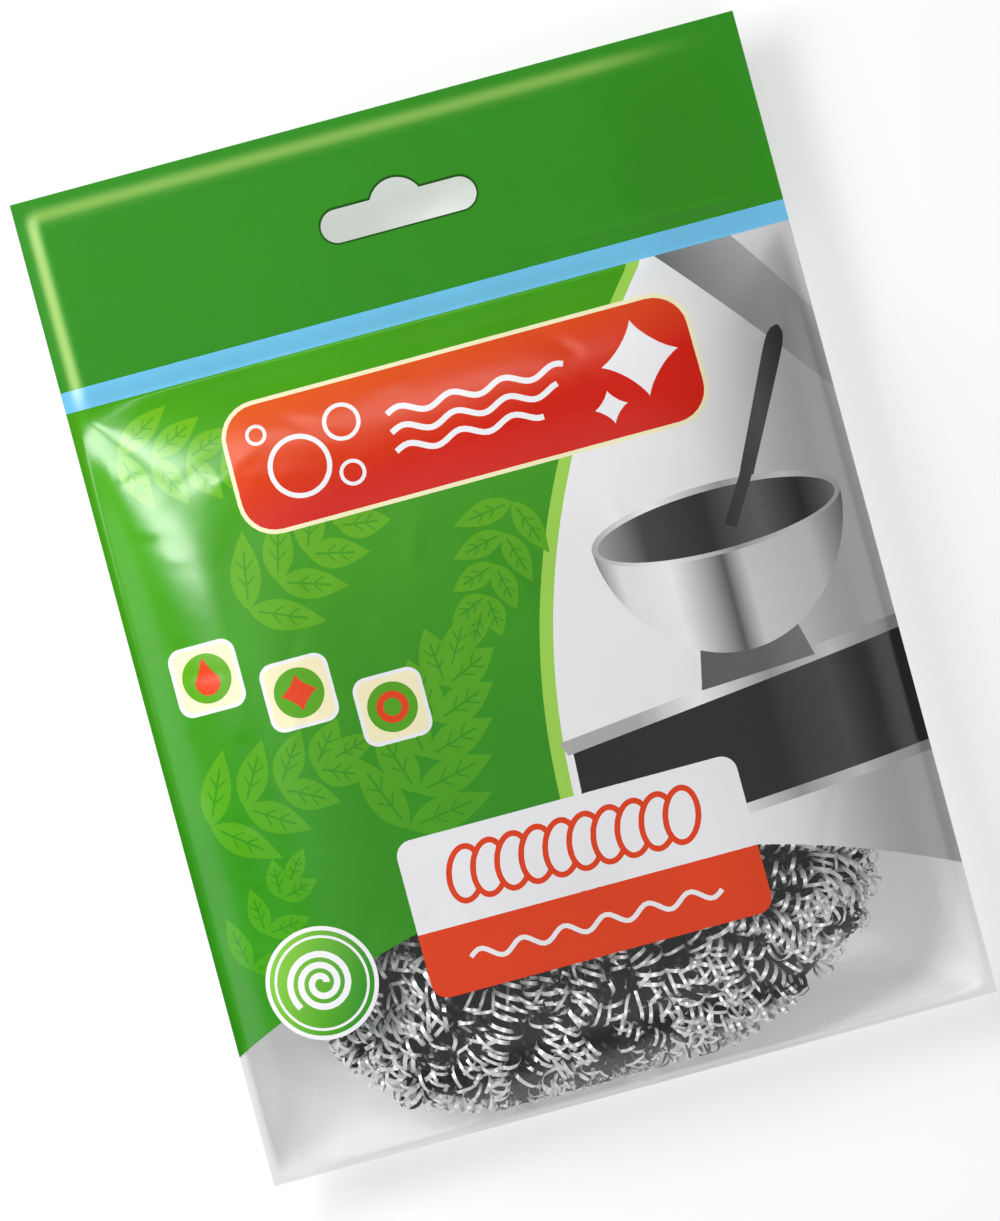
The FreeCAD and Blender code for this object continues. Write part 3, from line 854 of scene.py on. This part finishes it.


# Each ink: its colour or the direction and colours of its fade, and where they differ from the usual,
# how far it drifts, its roughness, its colour in the highlight painted on the header's ramps and its painted
# glow
LEAF_WAY = (-0.25, 1.0)
PANEL_WAY = (-0.15, 1.0)
BADGE_WAY = (0.9, -0.5)
INKS = {
    # Both header inks pale into a painted highlight on the header's left and top ramps
    "header_green": dict(colour=(0.15, 0.54, 0.00), roughness=0.46, pale=(0.62, 0.76, 0.34)),
    "band_blue": dict(colour=(0.43, 0.75, 0.91), roughness=0.45, pale=(0.72, 0.86, 0.94)),
    "slot_rim": dict(colour=(0.10, 0.33, 0.03)),
    "leaf_green": dict(fade=(LEAF_WAY, [(-20, (0.17, 0.54, 0.01)), (62, (0.26, 0.60, 0.02))]), spread=0.08),
    "leaf_light": dict(fade=(LEAF_WAY, [(-40, (0.25, 0.59, 0.02)), (62, (0.40, 0.67, 0.03))]), spread=0.08),
    "leaf_edge": dict(colour=(0.60, 0.80, 0.30)),
    "badge_green": dict(fade=(BADGE_WAY, [(-26, (0.50, 0.75, 0.25)), (-8, (0.16, 0.55, 0.05))])),
    "print_red": dict(fade=(PANEL_WAY, [(30, (0.79, 0.10, 0.00)), (50, (0.86, 0.33, 0.09))]), spread=0.04),
    "print_orange": dict(colour=(0.86, 0.23, 0.00), spread=0.04),
    "print_cream": dict(colour=(0.93, 0.90, 0.74), spread=0.03),
    "print_white": dict(colour=(0.91, 0.91, 0.92), spread=0.02),
    "print_ground": dict(fade=greys((0, 0.91), (40, 0.90), (70, 0.78)), spread=0.03),
    "print_bowl": dict(fade=greys((18, 0.50), (22, 0.86), (31, 0.92), (38, 0.62), (41, 0.35), (45, 0.84),
                                  (58, 0.92), (63, 0.66), (66, 0.30)), spread=0.03),
    "bowl_inside": dict(fade=greys((18, 0.62), (28, 0.24), (40, 0.15), (50, 0.42), (58, 0.20), (66, 0.5)),
                        spread=0.06),
    "print_steel": dict(fade=greys((18, 0.66), (30, 0.92), (44, 0.62), (56, 0.93), (70, 0.60)), spread=0.04),
    "print_shade": dict(fade=greys((28, 0.34), (44, 0.40), (66, 0.70)), spread=0.06),
    "print_dark": dict(fade=greys((0, 0.12), (42, 0.15), (55, 0.36), (62, 0.20), (70, 0.14)), spread=0.10),
    # Painted light: the back film glows, so that the pouch's inside looks bright through the clear window
    "back_white": dict(colour=(0.79, 0.79, 0.80), roughness=0.46, painted_glow=0.30, spread=0.02),
}
# Each steel: its bright and dark colours, its roughness and how metallic it looks
STEELS = {
    "ribbon_steel": ((0.99, 0.99, 0.99), (0.94, 0.95, 0.96), 0.32, 0.45),
    # Painted shade: a darkened copy of the ribbon steel for the deeper ribbons
    "inner_steel": ((0.20, 0.21, 0.22), (0.08, 0.09, 0.10), 0.36),
    "shadow_steel": ((0.08, 0.08, 0.09), (0.03, 0.03, 0.04), 0.5),
}
materials = {name: print_material(name, **values) for name, values in INKS.items()}
materials |= {name: steel_material(name, *values) for name, values in STEELS.items()}
materials["clear_film"] = clear_material("clear_film")
materials["studio_floor"] = floor_material("studio_floor")


# Meshes

SLIVER = 0.09  # points closer than this are merged
SAME_POINT = 1e-4  # and so are points closer than this while a film is cut


def new_object(name, data):
    made = bpy.data.objects.new(name, data)
    bpy.context.scene.collection.objects.link(made)
    return made


def new_piece(name, vertices, faces, slots, face_slots=None):
    """An object from points in millimetres. face_slots gives each face's place in slots."""
    mesh = bpy.data.meshes.new(name)
    mesh.from_pydata(np.asarray(vertices) * MM, [], faces)
    for slot in slots:
        mesh.materials.append(materials[slot])
    if face_slots is not None:
        mesh.polygons.foreach_set("material_index", np.asarray(face_slots, np.int32))
    mesh.polygons.foreach_set("use_smooth", np.full(len(mesh.polygons), True))
    mesh.update()
    return new_object(name, mesh)


def spaced(start, end, *ramps):
    """Places from a start to an end, closer together on the ramps."""
    place = start + SPACING / 2
    places = []
    while place < end:
        places.append(place)
        fine = any(low <= place <= high for low, high in ramps)
        place += FINE_SPACING if fine else SPACING
    return places


def film_points(outlines):
    """Points of a grid, apart from those that crowd an outline."""
    placed = np.concatenate(outlines)
    tree = kdtree.KDTree(len(placed))
    for k, (x, y) in enumerate(placed):
        tree.insert((x, y, 0), k)
    tree.balance()
    left = HEADER_EDGE - HALF_WIDTH
    top = TOP - HEADER_EDGE
    seal_ramp = (POUCH_HIGH - SWELL_FADE, FOLD + SWELL_FADE)
    across = spaced(-HALF_WIDTH, HALF_WIDTH, (left, left + HEADER_SIDE_RAMP))
    along = spaced(BOTTOM, TOP, seal_ramp, (top - HEADER_TOP_RAMP, top))
    return [(x, y) for x in across for y in along if tree.find((x, y, 0))[2] > FINE_SPACING]


def tidy_slivers(mesh):
    """Merge tiny triangles that crossing outlines leave, and keep the cut edges sharp."""
    work = bmesh.new()
    work.from_mesh(mesh)
    bmesh.ops.remove_doubles(work, verts=work.verts, dist=SLIVER * MM)
    bmesh.ops.dissolve_degenerate(work, edges=work.edges, dist=SLIVER * MM)
    bmesh.ops.triangulate(work, faces=work.faces)
    for edge in work.edges:
        edge.smooth = not edge.is_boundary
    work.to_mesh(mesh)
    work.free()


def cut_sheet(artwork):
    """Points, triangles and inks of a flat sheet that is cut along the outlines of its print."""
    outlines = [counterclockwise(outline) for _, outline in artwork]
    points = []
    rings = []
    for outline in outlines:
        rings.append(list(range(len(points), len(points) + len(outline))))
        points += [Vector(p) for p in outline]
    points += [Vector(p) for p in film_points(outlines)]
    flat, _, triangles, _, _, owners = delaunay_2d_cdt(points, [], rings, 0, SAME_POINT)
    faces = []
    inks = []
    for triangle, owner in zip(triangles, owners):
        ink = artwork[max(owner)][0] if 0 in owner else None
        if ink:
            faces.append(list(triangle))
            inks.append(ink)
    used = sorted({k for face in faces for k in face})
    order = {k: i for i, k in enumerate(used)}
    faces = [[order[k] for k in face] for face in faces]
    return np.array([flat[k][:] for k in used]), faces, inks


def map_film(mesh):
    """Give a film its map for the print, and the shares that its materials read."""
    spots = np.empty(3 * len(mesh.vertices), np.float32)
    corners = np.empty(len(mesh.loops), np.int32)
    mesh.vertices.foreach_get("co", spots)
    mesh.loops.foreach_get("vertex_index", corners)
    spots = spots.reshape(-1, 3)[:, :2] / MM
    chart = mesh.uv_layers.new(name="print")
    chart.data.foreach_set("uv", (spots[corners] / UV_SPAN).ravel())
    for measure in (ridge_highlight, rub):
        shares = mesh.attributes.new(measure.__name__, "FLOAT", "POINT")
        shares.data.foreach_set("value", measure(*spots.T).astype(np.float32))


def film_piece(name, artwork, height, up):
    """A film as one sheet, so that each colour of its print has clean edges."""
    flat, faces, inks = cut_sheet(artwork)
    if not up:
        faces = [face[::-1] for face in faces]
    x, y = flat.T
    slots = sorted({ink for ink, _ in artwork if ink})
    face_slots = [slots.index(ink) for ink in inks]
    piece = new_piece(name, np.stack([x, y, height(x, y)], 1), faces, slots, face_slots)
    tidy_slivers(piece.data)
    map_film(piece.data)
    skin = piece.modifiers.new("film", "SOLIDIFY")
    skin.thickness = FILM_THICK * MM
    skin.offset = 0
    return piece


# Scourer

MIDDLE = (bundle_low + bundle_high) / 2
REACH = bundle_low.z - strand_low.z  # spiral strands stand this far off the bundle
LONGER = 2.0  # loose ends reach this far past them, along the pouch
LOWER = 0.8  # and the tangle lies this much nearer the bottom weld
OUTER_WIDE = bundle_high.x + REACH
OUTER_LONG = bundle_high.y - MIDDLE.y + REACH + LONGER
HEART = np.array((0.0, MIDDLE.y - LOWER, WELD_LEVEL))
CROWN = strand_high.z - WELD_LEVEL
DEPTH = WELD_LEVEL - strand_low.z
LEAST_DEPTH = 0.6  # an inset skin reaches at least this far down
PLAN_POWER = 2.7  # a little squarer than an ellipse, seen from above
PLAN_TURN = radians(5.2)  # lies a little askew in its pouch
SKIN_STEPS = 5
CORE_INSET = 4.2  # of the near-black core of painted shade under the ribbons
CORE_LUMP = 0.35
CORE_SEGMENTS = (90, 48)
FILM_CLEARANCE = 0.7  # ribbons keep this far from the film
GOLDEN_ANGLE = pi * (3 - sqrt(5))

RIBBON_THICK = 0.10
RIBBON_WIDTHS = (0.55, 0.85)
RIBBON_CORNERS = 4
TURNS = (4, 9)  # of one curled ribbon
TURN_STEPS = 14
TURN_LENGTHS = (2.2, 3.6)
TURN_DRIFT = 0.3  # turns that a curl runs ahead or lags behind
DRIFT_WAVES = (1, 2.5)
BREATH = 0.12  # share of its radius by which a curl tightens
BREATH_WAVES = (2, 5)
ANY_PHASE = (0, 6)
SHORTEST_WALK = 6
FIRST_BEND = 0.08  # of the line that a curl follows
NEW_BEND = 0.05
KEPT_BEND = 0.85

TIE_TURNS = 4
TIE_STEPS = 120
TIE_WIDTH = 0.9
TIE_INSET = 0.5  # inside the tie's box
TIE_END = 0.6  # and inside its two ends


def skin_share(spot, inset):
    """0 at the scourer's heart, 1 on its skin or on one that lies inset from it."""
    x, y, z = spot - HEART
    across = abs(x * cos(PLAN_TURN) + y * sin(PLAN_TURN)) / (OUTER_WIDE - inset)
    along = abs(y * cos(PLAN_TURN) - x * sin(PLAN_TURN)) / (OUTER_LONG - inset)
    high = CROWN - inset if z > 0 else max(DEPTH - inset, LEAST_DEPTH)
    return sqrt(across ** PLAN_POWER + along ** PLAN_POWER + (z / high) ** 2)


def on_skin(spot, inset):
    """The place on the scourer's skin, or inset from it, that lies outwards of another place."""
    for _ in range(SKIN_STEPS):
        spot = HEART + (spot - HEART) / skin_share(spot, inset)
    return spot


def strand_walk(place, length, inset):
    """A wandering line on the scourer, as points about a millimetre apart."""
    ahead = chance.normal(size=3)
    bend = between(-FIRST_BEND, FIRST_BEND)
    spots = [on_skin(place, inset)]
    for _ in range(max(SHORTEST_WALK, int(length))):
        out = spots[-1] - HEART
        bend = KEPT_BEND * bend + between(-NEW_BEND, NEW_BEND)
        ahead = ahead + bend * np.cross(out, ahead) / np.linalg.norm(out)
        spots.append(on_skin(spots[-1] + ahead / np.linalg.norm(ahead), inset))
        ahead = spots[-1] - spots[-2]
        ahead /= np.linalg.norm(ahead)
    return np.array(spots)


def inside_film(spots):
    """The same places, moved in where the film would press on them."""
    x, y, z = spots.T
    y = np.maximum(y, POUCH_LOW + 2 * FILM_CLEARANCE)
    outer = y - FILM_CLEARANCE / 2
    high = WELD_LEVEL + FILM_RISE * pillow(x, outer, *FRONT_ZONES) - FILM_CLEARANCE
    low = WELD_LEVEL - BACK_DEPTH * pillow(x, y, *BACK_ZONES) + FILM_CLEARANCE
    z = np.clip(z, np.minimum(low, WELD_LEVEL), np.maximum(high, WELD_LEVEL))
    return np.stack([x, y, z], 1)


def curl(line, radius, turns, phase, hand):
    """Points, widths' directions and outward directions of a ribbon that curls round a line."""
    share = np.linspace(0, 1, int(turns * TURN_STEPS))
    places = np.linspace(0, 1, len(line))
    middle = np.stack([np.interp(share, places, line[:, k]) for k in range(3)], 1)
    ahead = unit(np.gradient(middle, axis=0))
    aside = unit(np.cross(ahead, (0.0, 0.0, 1.0)))
    above = np.cross(aside, ahead)
    drift = np.sin(FULL_TURN * share * between(*DRIFT_WAVES) + between(*ANY_PHASE))
    angle = (phase + FULL_TURN * (turns * share + TURN_DRIFT * drift) * hand)[:, None]
    out = above * np.cos(angle) + aside * np.sin(angle)
    breath = np.sin(FULL_TURN * share * between(*BREATH_WAVES) + between(*ANY_PHASE))
    spots = inside_film(middle + out * (radius * (1 - BREATH + BREATH * breath))[:, None])
    across = unit(np.cross(np.gradient(spots, axis=0), out))
    return spots, across, out


def ribbon(spots, across, out, width):
    """A flat ribbon with four corners at each step, closed at both ends."""
    w = across * width / 2
    t = out * RIBBON_THICK / 2
    rings = np.stack([spots + w + t, spots - w + t, spots - w - t, spots + w - t], 1)
    faces = []
    for start in range(0, RIBBON_CORNERS * (len(spots) - 1), RIBBON_CORNERS):
        end = start + RIBBON_CORNERS
        for k in range(RIBBON_CORNERS):
            after = (k + 1) % RIBBON_CORNERS
            faces.append([start + k, end + k, end + after, start + after])
    last = RIBBON_CORNERS * len(spots) - 1
    faces += [[0, 1, 2, 3], [last, last - 1, last - 2, last - 3]]
    return rings.reshape(-1, 3), faces


def join(parts):
    """Several meshes as one list of points and one of faces."""
    points = []
    faces = []
    start = 0
    for made, sides in parts:
        points.append(made)
        faces += [[k + start for k in side] for side in sides]
        start += len(made)
    return np.concatenate(points), faces


def strands(total, radii, depths, first=0, step=1, side=1, inner=0.0):
    """All or every few of a total of curled ribbons, spread over the scourer like seeds on a sunflower."""
    parts = []
    for k in range(first, total, step):
        reach = sqrt(inner ** 2 + (1 - inner ** 2) * (k + 0.5) / total)
        angle = k * GOLDEN_ANGLE
        rise = side * sqrt(1 - reach ** 2) * (CROWN if side > 0 else DEPTH)
        place = HEART + (OUTER_WIDE * reach * cos(angle), OUTER_LONG * reach * sin(angle), rise)
        radius = between(*radii)
        turns = between(*TURNS)
        length = turns * between(*TURN_LENGTHS)
        line = strand_walk(place, length, radius + between(*depths))
        shape = curl(line, radius, turns, between(*ANY_PHASE), chance.choice(EITHER_WAY))
        parts.append(ribbon(*shape, between(*RIBBON_WIDTHS)))
    return join(parts)


def ribbon_piece(name, made, steel, *nodes):
    """A piece of the scourer made of ribbons, whose long edges stay sharp."""
    piece = new_piece(name, *made, [steel])
    edges = np.empty(2 * len(piece.data.edges), np.int32)
    piece.data.edges.foreach_get("vertices", edges)
    first, second = edges.reshape(-1, 2).T
    sharp = piece.data.attributes.new("sharp_edge", "BOOLEAN", "EDGE")
    sharp.data.foreach_set("value", np.abs(first - second) == RIBBON_CORNERS)
    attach(piece, "scourer")
    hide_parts(*nodes)
    return piece


def shade_core():
    """Painted shade under the visible ribbons, standing in for the packed strands there: a near-black lumpy
    dome with a flatter underside.
    """
    ball = bmesh.new()
    bmesh.ops.create_uvsphere(ball, u_segments=CORE_SEGMENTS[0], v_segments=CORE_SEGMENTS[1], radius=1)
    points = []
    for corner in ball.verts:
        x, y, z = corner.co
        lump = sin(9 * x + 4 * z) + sin(11 * y - 5 * x)
        place = HEART + (OUTER_WIDE * x, OUTER_LONG * y, CROWN * z)
        points.append(on_skin(place, CORE_INSET + CORE_LUMP * lump))
    faces = sorted([corner.index for corner in face.verts] for face in ball.faces)
    ball.free()
    return np.array(points), faces


def tie_ribbon():
    """The same kind of ribbon, wound a few times round the middle to hold the strands."""
    radius = (tie_high.x - tie_low.x) / 2 - TIE_INSET
    share = np.linspace(0, 1, TIE_STEPS)
    angle = FULL_TURN * TIE_TURNS * share
    height = tie_low.z + TIE_END + (tie_high.z - tie_low.z - 2 * TIE_END) * share
    spots = np.stack([radius * np.cos(angle), MIDDLE.y + radius * np.sin(angle), height], 1)
    out = np.stack([np.cos(angle), np.sin(angle), 0 * angle], 1)
    across = np.tile((0.0, 0.0, 1.0), (len(share), 1))
    return ribbon(spots, across, out, TIE_WIDTH)


# Stage, in metres

FLOOR_HALF = 4.0
FLOOR_DROP = 0.05 * MM  # keeps the floor off the film that lies on it
WORLD_LIGHT = 0.24
WORLD_SEEN = 0.85


def softbox(name, place, target, size, power):
    data = bpy.data.lights.new(name, "AREA")
    data.shape = "RECTANGLE"
    data.size, data.size_y = size
    data.energy = power
    lamp = new_object(name, data)
    lamp.location = place
    lamp.rotation_euler = (Vector(target) - Vector(place)).to_track_quat("-Z", "Y").to_euler()


def floor():
    mesh = bpy.data.meshes.new("studio_floor")
    corners = [(x * FLOOR_HALF, y * FLOOR_HALF, 0) for x, y in ((-1, -1), (1, -1), (1, 1), (-1, 1))]
    mesh.from_pydata(corners, [], [(0, 1, 2, 3)])
    mesh.materials.append(materials["studio_floor"])
    made = new_object("studio_floor", mesh)
    made.location.z = -FLOOR_DROP


def surroundings():
    """A pale world that is brighter to look at than as a light."""
    world = bpy.data.worlds.new("studio")
    bpy.context.scene.world = world
    world.use_nodes = True
    tree = world.node_tree
    seen = add(tree, "LightPath").outputs["Is Camera Ray"]
    sky = tree.nodes["Background"]
    feed(sky.inputs["Color"], WHITE)
    feed(sky.inputs["Strength"], ranged(tree, seen, WORLD_LIGHT, WORLD_SEEN, start=0.0, end=1.0))


def lights():
    softbox("left_soft", place=(-0.54, 0.19, 0.33), target=(0, 0.05, 0), size=(0.20, 0.24), power=2.8)
    softbox("corner_soft", place=(-0.42, 0.46, 0.42), target=(-0.05, 0.05, 0), size=(0.22, 0.22), power=3.4)
    softbox("top_strip", place=(-0.12, 0.60, 0.46), target=(0, 0.07, 0), size=(0.30, 0.06), power=0.5)
    softbox("fill_light", place=(0.25, -0.60, 0.75), target=(0, -0.02, 0), size=(0.5, 0.5), power=2.4)


def camera():
    """Straight above the pack, which the photograph shows lying on its back and turned."""
    image_high = 1221
    turn = radians(15.1)
    mm_per_pixel = 0.187
    distance = 1.4
    middle = (-1.2 * MM, -2.0 * MM)
    data = bpy.data.cameras.new("camera")
    data.sensor_width = 36.0
    data.lens = data.sensor_width * distance / (image_high * mm_per_pixel * MM)
    seen = new_object("camera", data)
    seen.location = (*middle, distance + WELD_LEVEL * MM)
    seen.rotation_euler = (0, 0, -turn)
    bpy.context.scene.camera = seen


# The pack

STRAND_PIECES = 8
RIM_SHARE = 0.9  # the rim's own ribbons start past this share of the reach
# Number, radii and depths of the curled ribbons in each layer
CROWN_RIBBONS = (30 * STRAND_PIECES, (1.6, 3.2), (0.1, 1.8))
RIM_RIBBONS = (14 * STRAND_PIECES, (1.5, 2.6), (0.1, 0.8))
UPPER_RIBBONS = (160, (1.8, 3.0), (0.8, 2.4))
LOWER_RIBBONS = (60, (2.0, 3.0), (0.1, 0.4))

bpy.context.scene.view_settings.view_transform = "Standard"
camera()
floor()
surroundings()
lights()

front = film_piece("front_film_sheet", front_print(), front_height, up=True)
back = film_piece("back_film_sheet", back_print(), back_height, up=False)
for sheet in (front, back):
    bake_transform(sheet)
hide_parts("front_film", "header_front_ply", "left_side_weld", "right_side_weld", "bottom_weld",
            "header_seal")
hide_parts("back_film", "header_back_ply")

for number in range(1, STRAND_PIECES + 1):
    every = {"first": number - 1, "step": STRAND_PIECES}
    ribbons = join([strands(*CROWN_RIBBONS, **every), strands(*RIM_RIBBONS, inner=RIM_SHARE, **every)])
    strand = ribbon_piece(f"ribbon_strand_{number}", ribbons, "ribbon_steel", f"spiral_strand_{number}")
upper = strands(*UPPER_RIBBONS)
lower = strands(*LOWER_RIBBONS, side=-1)
# The deeper ribbons wear the darkened steel, as painted shade
ribbon_piece("inner_ribbons", join([upper, lower]), "inner_steel")
# Painted shade: a near-black dome fills the gaps between the ribbons
core = new_piece("shade_core", *shade_core(), ["shadow_steel"])
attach(core, "scourer")
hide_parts("inner_strand_bundle")
ribbon_piece("tie_ribbon", tie_ribbon(), "ribbon_steel", "centre_tie")
